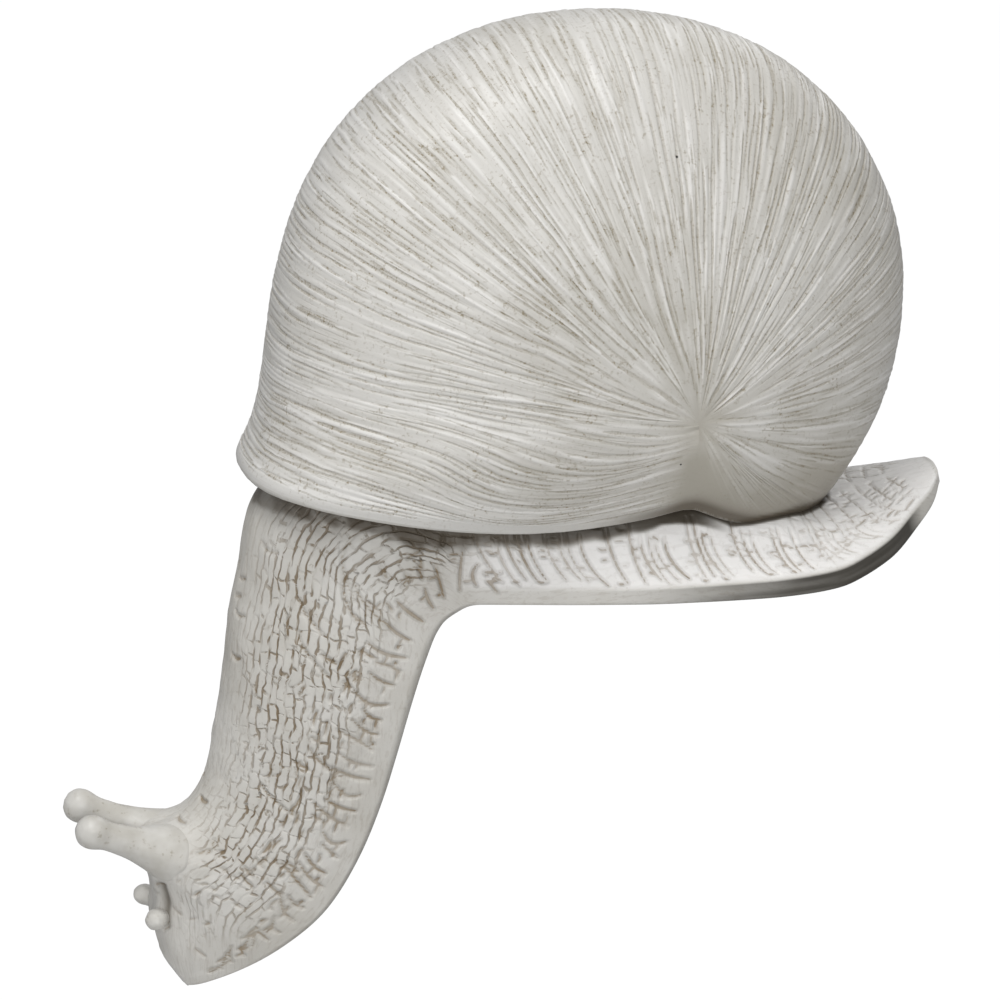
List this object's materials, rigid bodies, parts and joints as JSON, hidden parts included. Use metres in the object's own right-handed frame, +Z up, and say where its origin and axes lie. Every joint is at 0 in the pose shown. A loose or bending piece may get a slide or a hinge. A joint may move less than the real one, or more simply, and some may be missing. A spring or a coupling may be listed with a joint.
{
  "type": "snail figurine",
  "caption": "Cast resin ledge-sitting snail ornament: domed grooved shell on a flat foot whose neck and head hang down over the edge of a shelf.",
  "frame": {"origin": "middle of the flat sole's rest on the ledge, on the figurine's middle plane, 45 mm behind the ledge's front edge", "axes": "+X along the foot towards the tail, +Y towards the snail's right side, +Z up from the ledge; the neck and head hang below the ledge towards -X"},
  "size_m": [0.1791, 0.073, 0.1963],
  "materials": {
    "body_resin": "satin off-white paint on cast resin, taupe wash left in the incised scale lines",
    "shell_resin": "satin off-white paint on cast resin, taupe wash left in fine radial grooves",
    "stalk_resin": "smooth satin off-white paint with faint taupe wash",
    "adhesive": "cured amber epoxy bead, hidden inside the shell",
    "wire": "bare steel wire, hidden inside the stalks"
  },
  "bodies": {
    "root": {"body": "body_resin", "shell": "shell_resin", "shell_bond": "adhesive", "eye_stalk_left": "stalk_resin", "eye_stalk_right": "stalk_resin", "eye_stalk_wire_left": "wire", "eye_stalk_wire_right": "wire", "feeler_left": "stalk_resin", "feeler_right": "stalk_resin"}
  },
  "joints": []
}
